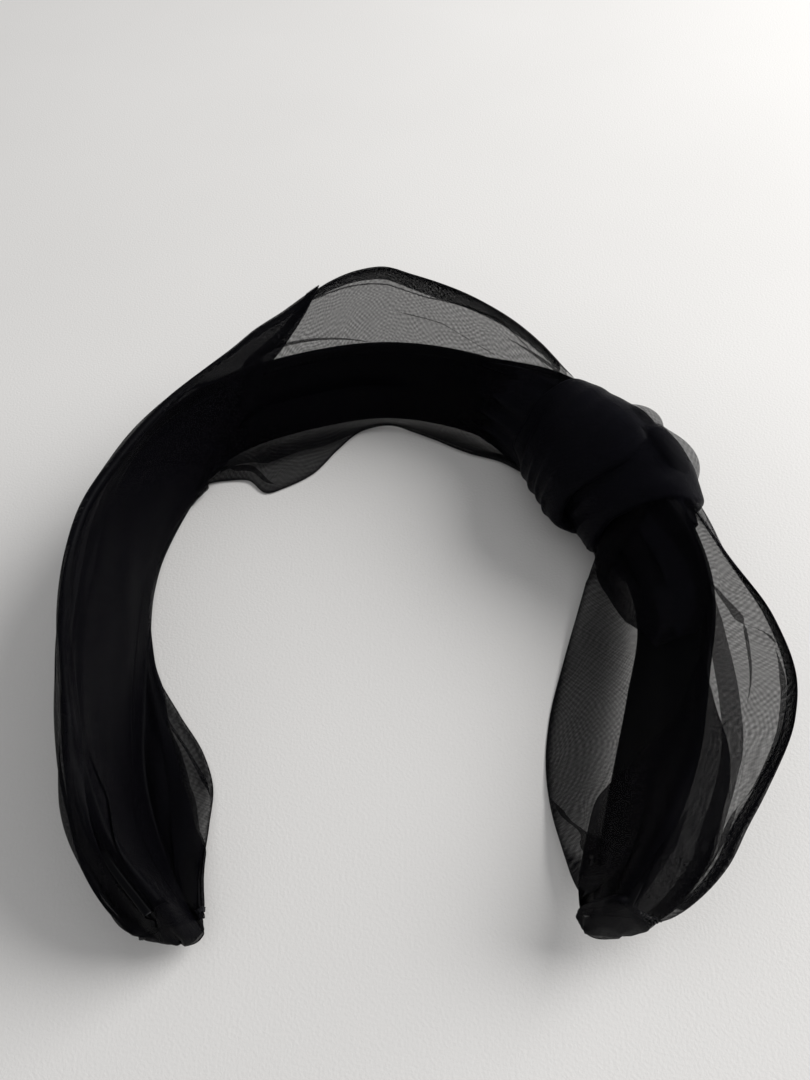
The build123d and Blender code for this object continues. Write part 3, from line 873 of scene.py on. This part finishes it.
# Loose inner plies: distances along the tube, the girth places of both edges there,
# and the width in mm that the ply was cut to.
CROWN_PLY = ([138, 146, 158, 172, 200, 262], [1.4, 0.95, 0.7, 0.8, 0.5, 0.1], [1.9] * 6, 25)
MOUTH_PLY = ([1, 6, 18, 38], [0.05, 0.1, 0.7, 1.4], [2.9, 2.7, 2.3, 1.9], 30)
TAIL_PLY = ([44, 58, 70, 76, 84, 101], [1.95, 1.8, 1.2, 0.95, 0.85, 0.3],
            [2.0, 2.2, 2.45, 2.55, 2.65, 2.9], 30)


def build_ply(name, tube, edges, depth, seed, material, body=None):
    """Cloth folded back inside a tube, between two edges along it."""
    run = np.linspace(edges[0][0], edges[0][-1], 160)[:, None]
    rows = tube.row_at(run)
    low, high = (eased(np.interp(run, edges[0], edge), 12) for edge in edges[1:3])
    q = low + (high - low) * np.linspace(0, 1, 110)[None]

    def lift(run, q):
        return ripples(run, q, seed, 0.3) - depth

    obj = tube_mesh(name, tube, np.broadcast_to(rows, q.shape), q, lift, closed=False)
    finish(obj, material, "organza", body=body)


def build_hem(materials, tube, q, hem):
    """The wrap's edge turned in twice: a narrow flat roll of cloth."""
    path = [(0.0, 0.30), (0.35, 0.34), (0.7, 0.34), (0.94, 0.30), (1.0, 0.12), (0.94, -0.10),
            (0.6, -0.16), (0.2, -0.16), (0.05, -0.05), (0.02, 0.05), (0.3, 0.10), (0.9, 0.08)]
    steps = np.linspace(0, len(path) - 1, 40)
    across, height = spline(np.array(path), steps).T
    run = hem - HEM_WIDTH + across[:, None] * HEM_WIDTH
    rows = tube.row_at(run)
    height = np.broadcast_to(height[:, None], rows.shape)

    def lift(run, q):
        return WRAP_LIFT + ripples(run, q, *WRAP_RIPPLES) + height

    obj = tube_mesh("organza_wrap_hem", tube, rows, q, lift, WRAP_PLEATS, closed=False)
    return finish(obj, materials["organza"], "organza")


def build_seam(name, materials, tube, first, last, depth, seed, body=None):
    """French seam along the upper fold, inside the tube: three layers and a stitch row."""
    path = [(0.12, 0.0), (0.6, -0.05), (0.96, -0.1), (1.0, -0.25), (0.95, -0.38), (0.5, -0.4),
            (0.15, -0.42), (0.1, -0.55), (0.16, -0.68), (0.6, -0.7), (0.95, -0.72)]
    across, height = spline(np.array(path), np.linspace(0, len(path) - 1, 36)).T
    run = np.linspace(first, last, 260)
    rows = tube.row_at(run)[:, None]
    wide = np.interp(run, *depth)[:, None]
    q = tube.q_below(rows, wide * across[None])
    height = np.broadcast_to(height[None] - 0.35, q.shape)

    def lift(run, q):
        return ripples(run, q, seed, SEAM_RIPPLE) + height

    obj = tube_mesh(name, tube, np.broadcast_to(rows, q.shape), q, lift, closed=False)
    finish(obj, materials["organza"], "organza", body=body)
    count = int((last - first) / 2.4)
    centre = np.linspace(first + 2, last - 2, count)
    ends = []
    for offset in (-0.75, 0.75):
        place = (centre + offset)[:, None]
        here = tube.row_at(place)
        q = tube.q_below(here, np.interp(place, *depth) * 0.93)
        bumps = ripples(place, q, seed, SEAM_RIPPLE)
        ends.append(tube.surface(here, q, bumps - 0.1)[:, 0])
    stitches = stitch_rods(name + "_stitches", ends[0], ends[1], 0.13)
    finish(stitches, materials["thread"], "thread", body=body)


# ---- the knot
# Loops placed as in the CAD and carried further at both ends: centre, heading, dip
# and lean of the axis in degrees, and rings of distance along the axis, half height
# and half thickness.
UPPER_LOOP = ((55.8, 23.5, 19.5), -54.0, 2.0, 25.0,
              [(-24, 13.5, 7.5), (-17, 15.8, 9.0), (-8, 18.2, 11.7), (2, 19.5, 13.5),
               (10, 20, 13.5), (16, 19, 12.5)])
LOWER_LOOP = ((65.5, 9.0, 19.5), -64.0, 20.0, 26.0,
              [(-14, 18.0, 11.5), (-10, 19.0, 12.5), (-2, 19.5, 13.0), (4.5, 18.5, 12.0), (12, 17, 11)])
PINCH = 118  # where round the loop its folds draw together, in degrees
LOOP_RADIUS = 16.5  # typical, for the cloth's coordinates only
# Edges of the loops: place round the loop in degrees (0 on top, 90 towards the
# head) and distance along its axis.
UPPER_TOP_EDGE = ([-180, -90, -14, 25, 60, 98, 152, 180], [-18, -15, -15, -16.3, -18.6, -18.6, -20.5, -18])
UPPER_LOW_EDGE = ([-180, -60, -30, 0, 50, 80, 96, 130, 152, 180], [9, 10, 12, 13, 12.6, 8.5, 6, 5.2, 7.5, 9])
LOWER_TOP_EDGE = ([-180, 180], [-11, -11])
LOWER_LOW_EDGE = ([-180, -90, -54, 0, 16, 28, 43, 63, 90, 115, 130, 180],
                  [6, 9, 9.5, 8.4, 7.2, 5.0, 3.6, 2.4, 1.6, 3.4, 4.8, 6])


def loop_surface(loop, distance, turn, lift):
    """Points of a loop at distances along its axis and turns round it, in degrees."""
    centre, heading, dip, lean, rings = loop
    heading, dip, lean = (math.radians(x) for x in (heading, dip, lean))
    level = np.array([math.cos(heading), math.sin(heading), 0.0])
    along = level * math.cos(dip) - np.array([0, 0, math.sin(dip)])
    outward = np.cross([0, 0, 1.0], level)
    rise = np.cross(along, outward) * math.cos(lean) + outward * math.sin(lean)
    inward = np.cross(along, rise)
    rings = np.array(rings, float)
    at = np.interp(distance, rings[:, 0], range(len(rings)))
    ring = spline(rings, at.ravel()).reshape(at.shape + (3,))
    turn = np.radians(turn)
    high = (ring[..., 1] + lift) * np.cos(turn)
    deep = (ring[..., 2] + lift) * np.sin(turn)
    points = (np.array(centre) + along * distance[..., None] + rise * high[..., None]
              + inward * deep[..., None])
    points[..., 2] = np.logaddexp(0, points[..., 2] / 0.3) * 0.3 + TABLE_GAP
    return points


def rolled_rows(body, roll, tuck):
    """Rows across a band: share of its width, extra distance and lift, edges rolled in."""
    turn = np.linspace(0, math.pi, 9)[1:]
    inside = np.linspace(0, tuck, 6)[1:]
    low_step = np.concatenate([roll * np.sin(turn), -inside])
    low_lift = np.concatenate([-roll * (1 - np.cos(turn)), np.full(5, -2 * roll)])
    share = np.concatenate([np.zeros(13), np.linspace(0, 1, body), np.ones(13)])
    step = np.concatenate([-low_step[::-1], np.zeros(body), low_step])
    lift = np.concatenate([low_lift[::-1], np.zeros(body), low_lift])
    return share[:, None], step[:, None], lift[:, None]


def build_loop(name, loop, top_edge, low_edge, bumps, material, nodes, roll=1.4, base=0.0):
    turn = np.linspace(-180, 180, 300, endpoint=False)[None]
    share, step, tuck = rolled_rows(90, roll, 5.0)
    top, low = (eased_round(np.interp(turn, *edge).T, 30).T for edge in (top_edge, low_edge))
    distance = top + (low - top) * share + step
    lift = base + tuck + bumps(distance, turn, share)
    points = loop_surface(loop, distance, np.broadcast_to(turn, distance.shape), lift)
    round_it = np.linspace(0, 2 * math.pi * LOOP_RADIUS, 301)[None]
    cloth = np.stack(np.broadcast_arrays(round_it, distance[:, :1]), axis=-1)
    obj = grid_mesh(name, points, cloth, closed=True)
    return finish(obj, material, "organza", *nodes, body=RIGHT)


def drape(distance, turn, far, near, narrow, wide):
    """Ridges that fan out from a pinch at PINCH degrees: far and near are their places
    along the axis opposite the pinch and at it, narrow and wide their widths."""
    away = np.clip(np.abs(PINCH - turn) / 120, 0, 1)
    spread = away ** 0.8
    total = 0.0
    for start, end in zip(near, far):
        middle = start + (end - start) * spread
        width = narrow + (wide - narrow) * spread
        total = total + np.exp(-(((distance - middle) / width) ** 2))
    return total * (1 - 0.75 * spread)


def build_knot(materials):
    def upper_folds(distance, turn, share):
        angle = np.radians(turn)
        soft = 0.28 * waves(angle * 16, distance, 55, 17, 41)
        ridges = drape(distance, turn, (-14, -8.5, -2.5, 4.5), (-12, -7.5, -3.5, 0.5), 0.9, 2.4)
        lip = 2.0 * ramp(share, 0.62, 0.97) * window(turn, 25, 130, 30)
        sink = 0.5 + 1.8 * (0.5 + 0.5 * np.cos(angle - 1.3)) ** 2
        return soft + 0.85 * ridges + lip - sink * (1 - ramp(share, 0, 0.3))

    def lower_folds(distance, turn, share):
        angle = np.radians(turn)
        soft = 0.25 * waves(angle * 16, distance, 50, 14, 51)
        ridges = drape(distance, turn, (-6, 1.5), (-4.5, -0.5), 0.8, 2.0)
        sink = 0.3 + 1.1 * window(turn, 30, 140, 25)
        return soft + 0.6 * ridges - sink * (1 - ramp(share, 0.45, 0.9))

    build_loop("knot_upper_wrap", UPPER_LOOP, UPPER_TOP_EDGE, UPPER_LOW_EDGE, upper_folds,
               materials["organza_knot"], ["knot_upper_loop"], roll=1.7)
    build_loop("knot_lower_band", LOWER_LOOP, LOWER_TOP_EDGE, LOWER_LOW_EDGE, lower_folds,
               materials["organza_knot"], ["knot_lower_loop"])
    build_pass(materials)
    build_puff("knot_puff_side", LOWER_LOOP, (-92, 20), (-13.5, 5.0), 2.3, 61, materials)
    build_puff("knot_puff_top", UPPER_LOOP, (-70, 10), (0.5, 13.0), 2.3, 62, materials)


# The organza inside the loops: core station, half height and half thickness.
PASS_SIZE = ([10.3, 10.7, 11.1, 11.5, 12.0, 12.6, 13.0, 13.4],
             [12.6, 14.4, 16.3, 17.2, 17.4, 16.6, 15.6, 13.6],
             [2.0, 3.6, 6.2, 8.6, 9.4, 8.6, 7.0, 4.0])


def build_pass(materials):
    """The organza drawn into folds round the core, which fan out into both tubes."""
    at = np.linspace(PASS_SIZE[0][0], PASS_SIZE[0][-1], 120)
    foot, head, outward, _ = core_frames(at)
    rise = unit(head - foot)
    middle = (foot + head) / 2
    turn = np.linspace(0, 2 * math.pi, 260, endpoint=False)[None]
    run = (at[:, None] - at[0]) * 21.0
    folds = 0.55 * np.cos(11 * turn + 0.03 * run + np.sin(3 * turn)) + 0.25 * waves(run, turn * 16, 40, 6, 71)
    high = eased(np.interp(at, PASS_SIZE[0], PASS_SIZE[1])[:, None], 20) + folds * 0.6
    deep = eased(np.interp(at, PASS_SIZE[0], PASS_SIZE[2])[:, None], 20) + folds
    points = (middle[:, None] + rise[:, None] * (high * np.cos(turn))[..., None]
              - outward[:, None] * (deep * np.sin(turn))[..., None])
    points[..., 2] = np.maximum(points[..., 2], 0.0) + TABLE_GAP
    cloth = np.stack(np.broadcast_arrays(run, np.linspace(0, 75, 261)[None]), axis=-1)
    obj = grid_mesh("knot_pass_gathers", points, cloth, closed=True)
    finish(obj, materials["organza_knot"], "organza", "knot_pass", body=RIGHT)


def build_puff(name, loop, turns, distances, height, seed, materials):
    """A loose sheer fold standing proud of a loop."""
    turn = np.linspace(*turns, 90)[None]
    share = np.linspace(0, 1, 60)[:, None]
    distance = distances[0] + (distances[1] - distances[0]) * share + 0 * turn
    along = (turn - turns[0]) / (turns[1] - turns[0])
    crest = np.sin(math.pi * share) ** 0.7 * np.sin(math.pi * along) ** 0.6
    frill = 1 + 0.3 * waves(along * 30, share * 4, 14, 30, seed)
    lift = -1.0 + (height + 1.0) * crest * frill
    distance = distance + 1.2 * waves(along * 30, share * 10, 16, 20, seed + 5) * crest
    points = loop_surface(loop, distance, turn + 0 * share, lift)
    cloth = np.stack(np.broadcast_arrays(along * 30, share * (distances[1] - distances[0])), axis=-1)
    obj = grid_mesh(name, points, cloth)
    finish(obj, materials["organza_ruffle"], "organza", body=RIGHT)


# ---- the tips
# Closing rings past a tube's end: how far on, and the share of the end's size.
TIP_RINGS = np.array([(-2.2, 0.90), (-0.8, 1.00), (0.0, 1.01), (0.5, 0.95), (1.0, 0.82), (1.5, 0.66),
                      (2.2, 0.50), (2.7, 0.32), (2.6, 0.15), (2.2, 0.03)])
TIP_STEPS = 50
TIP_GIRTH = 48  # mm of cloth round a tip


def build_tip(side, tube, end_row, materials, body):
    """The end of the tube drawn together over the core's end, and its thread."""
    away = -1 if end_row == 0 else 1
    q = np.linspace(0, ZONES, 330, endpoint=False)
    turn = q / ZONES * 2 * math.pi
    ring = tube.surface(np.full_like(q, end_row), q, 1.0 + tip_gathers(q, 0.0, 0.4 + 0.7 * (away > 0)))
    ring = eased_round(ring, 60)
    low, high = (edge[end_row] + [0, 0, TABLE_GAP] for edge in (tube.low, tube.high))
    chord = high - low
    place = np.clip(((ring - low) @ chord) / (chord @ chord), 0, 1)[:, None]
    closed_at = low + chord * np.clip(place, 0.25, 0.75)
    dome = 1.25 - 0.65 * (2 * place - 1) ** 2
    onward = unit((tube.low + tube.high)[end_row] - (tube.low + tube.high)[end_row - away * 14])
    reach, size = spline(TIP_RINGS, np.linspace(0, len(TIP_RINGS) - 1, TIP_STEPS)).T
    closing = ramp(np.arange(TIP_STEPS), 8, 34)[:, None]
    lobes = np.cos(7 * turn + 1.6 * np.sin(2 * turn + away)) + 0.4 * np.cos(13 * turn + away)
    size = size[:, None] * (1 + 0.12 * lobes[None] * closing)
    reach = reach[:, None] + 0.25 * np.sin(turn * 5 + 1.3 * away)[None] * closing
    points = closed_at + (ring - closed_at)[None] * size[..., None] + onward * reach[..., None] * dome[None]
    points[..., 2] = np.maximum(points[..., 2], TABLE_GAP)
    girth = np.linspace(0, TIP_GIRTH, 331)[None]
    cloth = np.stack(np.broadcast_arrays(np.arange(TIP_STEPS)[:, None] * 0.25, girth), axis=-1)
    obj = grid_mesh("tip_gather_" + side + "_folds", points, cloth, closed=True)
    finish(obj, materials["organza_tucked"], "organza", "tip_gather_" + side, body=body)
    t = np.linspace(0, 3, 260)
    from_end = THREAD_FROM_END + 0.5 * (t - 1.5)
    run = from_end if away < 0 else tube.run[-1] - from_end
    rows = tube.row_at(run)
    wound = tube.surface(rows, (t % 1) * ZONES, -0.55)
    thread = stitch_rods("tip_binding_" + side + "_thread", wound[:-1], wound[1:], 0.24)
    finish(thread, materials["thread"], "thread", "tip_binding_" + side, body=body)


# -------------------------------------------------------------------- the stage
CAMERA_PLACE = (17.2, -125.0, 205.0)
CAMERA_TURN = 5.2  # degrees to the left of +Y
CAMERA_DOWN = 56.0
CAMERA_ROLL = -6.6
CAMERA_LENS = 28.67
CAMERA_SENSOR = 36.0
FLOOR_HALF = 3.0
SKY_COLOUR = (0.97, 0.98, 1.0, 1)
SKY_STRENGTH = 0.46


def build_camera():
    turn, down, roll = (math.radians(a) for a in (CAMERA_TURN, CAMERA_DOWN, CAMERA_ROLL))
    ahead = Vector((-math.sin(turn), math.cos(turn), 0.0))
    right = Vector((math.cos(turn), math.sin(turn), 0.0))
    forward = ahead * math.cos(down) - Vector((0, 0, math.sin(down)))
    lower = -ahead * math.sin(down) - Vector((0, 0, math.cos(down)))
    image_right = right * math.cos(roll) - lower * math.sin(roll)
    image_down = right * math.sin(roll) + lower * math.cos(roll)
    basis = Matrix((image_right, -image_down, -forward)).transposed().to_4x4()
    data = bpy.data.cameras.new("camera")
    data.lens = CAMERA_LENS
    data.sensor_width = CAMERA_SENSOR
    data.clip_start = 0.005
    camera = bpy.data.objects.new("camera", data)
    camera.matrix_world = Matrix.Translation(Vector(to_frame(CAMERA_PLACE))) @ basis
    bpy.context.scene.collection.objects.link(camera)
    bpy.context.scene.camera = camera


def build_stage(materials):
    mesh = bpy.data.meshes.new("floor")
    s = FLOOR_HALF
    mesh.from_pydata([(-s, -s, 0), (s, -s, 0), (s, s, 0), (-s, s, 0)], [], [(0, 1, 2, 3)])
    floor = bpy.data.objects.new("floor", mesh)
    floor.data.materials.append(materials["floor"])
    bpy.context.scene.collection.objects.link(floor)
    world = bpy.data.worlds.new("studio")
    world.use_nodes = True
    sky = world.node_tree.nodes["Background"]
    sky.inputs["Color"].default_value = SKY_COLOUR
    sky.inputs["Strength"].default_value = SKY_STRENGTH
    bpy.context.scene.world = world
    add_light("window_light", (0.86, 0.34, 0.60), (0.0, 0.0, 0.0), 0.85, 14.5)
    bpy.context.scene.view_settings.view_transform = "Standard"


def add_light(name, place, target, size, power):
    data = bpy.data.lights.new(name, "AREA")
    data.shape = "DISK"
    data.size = size
    data.energy = power
    lamp = bpy.data.objects.new(name, data)
    lamp.location = place
    aim = Vector(target) - Vector(place)
    lamp.rotation_euler = aim.to_track_quat("-Z", "Y").to_euler()
    bpy.context.scene.collection.objects.link(lamp)


def main():
    materials = {
        "organza_tucked": organza("black_organza_tucked", cover=0.91, moire=0.03),
        "organza_double": organza("black_organza_doubled", cover=0.76, moire=0.05),
        "organza": organza("black_organza"),
        "organza_knot": organza("black_organza_bunched", 0.93, BUNCHED_BLACK, 0.02),
        "organza_ruffle": organza("black_organza_ruffle", 0.52, BUNCHED_BLACK),
        "satin": satin("black_satin"),
        "lining": satin("black_lining_ribbon", (0.0011, 0.0011, 0.0016)),
        "plastic": plastic("core_plastic"),
        "thread": thread("black_thread"),
        "floor": floor_cloth("pale_floor"),
    }
    build_camera()
    build_stage(materials)
    build_core(materials)
    long, short = long_tube(), short_tube()
    build_long_tube(materials, long)
    build_short_tube(materials, short)
    build_wrap(materials, long)
    build_seam("seam_long", materials, long, 60.0, long.run[-1] - 3,
               ([60, 182, 202, 222, 243, 262], [2.4, 2.4, 3.6, 4.4, 3.2, 2.6]), 5)
    build_seam("seam_short", materials, short, 8.0, short.run[-1] - 6,
               ([8, 40, 60, 100], [1.6, 2.2, 2.6, 2.4]), 15, body=RIGHT)
    build_ply("organza_crown_ply", long, CROWN_PLY, 0.6, 35, materials["organza_double"])
    build_ply("organza_mouth_ply", short, MOUTH_PLY, 0.4, 36, materials["organza_knot"], RIGHT)
    build_ply("organza_tail_ply", short, TAIL_PLY, 0.6, 37, materials["organza_tucked"], RIGHT)
    build_knot(materials)
    build_tip("left", long, 0, materials, LEFT)
    build_tip("right", short, len(short.at) - 1, materials, RIGHT)


main()
